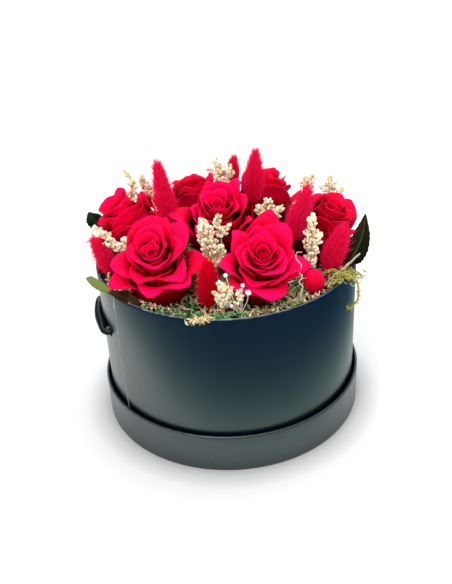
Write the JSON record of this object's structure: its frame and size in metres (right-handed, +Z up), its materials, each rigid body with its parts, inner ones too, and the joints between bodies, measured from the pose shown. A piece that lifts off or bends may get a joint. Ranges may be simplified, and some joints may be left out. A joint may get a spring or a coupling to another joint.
{
  "type": "flower box",
  "caption": "Round black paper-covered gift box standing in its upturned lid, with cord loop handles, filled with red preserved roses, dyed grass tails, cream sprigs, leaves and moss.",
  "frame": {"origin": "centre of the lid's flat underside, where the object stands", "axes": "+Z up along the box's axis, -X towards one cord handle with the other 13 degrees round from +X towards +Y, +Y away from the front of the arrangement"},
  "size_m": [0.2143, 0.2078, 0.2031],
  "materials": {
    "black_paper": "black paper wrap with a soft satin sheen over board",
    "grey_board": "uncoated grey board",
    "black_cord": "twisted black cotton cord",
    "floral_foam": "fine open-cell dry floral foam",
    "moss": "dry fibrous moss, green and tan",
    "rose_petals": "velvety preserved petals",
    "flower_stems": "dry green stem",
    "dyed_tails": "soft hairy dyed grass heads",
    "cream_sprigs": "dry bead-like buds",
    "preserved_leaves": "waxy dark green leaf",
    "dry_twigs": "bare dry twig",
    "yellow_moss": "dry yellow-green strand"
  },
  "bodies": {
    "lid": {"lid_disc": "black_paper", "lid_rim": "black_paper"},
    "box": {"box_base": "grey_board", "box_wall": "black_paper", "cord_knot_left_back": "black_cord", "cord_knot_left_front": "black_cord", "cord_knot_right_back": "black_cord", "cord_knot_right_front": "black_cord", "foam_left": "floral_foam", "foam_middle": "floral_foam", "foam_right": "floral_foam", "leaf_front_left": "preserved_leaves", "leaf_left": "preserved_leaves", "leaf_right": "preserved_leaves", "moss_bed": "moss", "moss_curl": "yellow_moss", "petal_loose": "rose_petals", "rose_head_back_left": "rose_petals", "rose_head_back_right": "rose_petals", "rose_head_centre": "rose_petals", "rose_head_front_left": "rose_petals", "rose_head_front_right": "rose_petals", "rose_head_left": "rose_petals", "rose_head_right": "rose_petals", "rose_stem_back_left": "flower_stems", "rose_stem_back_right": "flower_stems", "rose_stem_centre": "flower_stems", "rose_stem_front_left": "flower_stems", "rose_stem_front_right": "flower_stems", "rose_stem_left": "flower_stems", "rose_stem_right": "flower_stems", "sprig_back": "cream_sprigs", "sprig_front_low": "cream_sprigs", "sprig_front_small": "cream_sprigs", "sprig_front_spike": "cream_sprigs", "sprig_front_white": "cream_sprigs", "sprig_left": "cream_sprigs", "sprig_left_back": "cream_sprigs", "sprig_left_inner": "cream_sprigs", "sprig_middle": "cream_sprigs", "sprig_right_back": "cream_sprigs", "sprig_right_far": "cream_sprigs", "sprig_right_spike": "cream_sprigs", "tail_back": "dyed_tails", "tail_front": "dyed_tails", "tail_left_back": "dyed_tails", "tail_left_front": "dyed_tails", "tail_right_front": "dyed_tails", "tail_right_inner": "dyed_tails", "tail_tall_back": "dyed_tails", "tail_tall_left": "dyed_tails", "tendril_front": "dry_twigs", "twig_right": "dry_twigs"},
    "handle_left": {"handle_cord_left": "black_cord"},
    "handle_right": {"handle_cord_right": "black_cord"}
  },
  "joints": [
    {"name": "box_lift", "type": "slide", "parent": "lid", "child": "box", "axis": [0, 0, 1], "range_m": [0, 0.045]},
    {"name": "handle_left_swing", "type": "hinge", "parent": "box", "child": "handle_left", "pos_m": [-0.09552, 0, 0.09], "axis": [0, 1, 0], "range_deg": [-25, 25], "stiffness_Nm_per_rad": 0.005},
    {"name": "handle_right_swing", "type": "hinge", "parent": "box", "child": "handle_right", "pos_m": [0.09308, 0.02149, 0.09], "axis": [0.225, -0.9744, 0], "range_deg": [-25, 25], "stiffness_Nm_per_rad": 0.005}
  ]
}
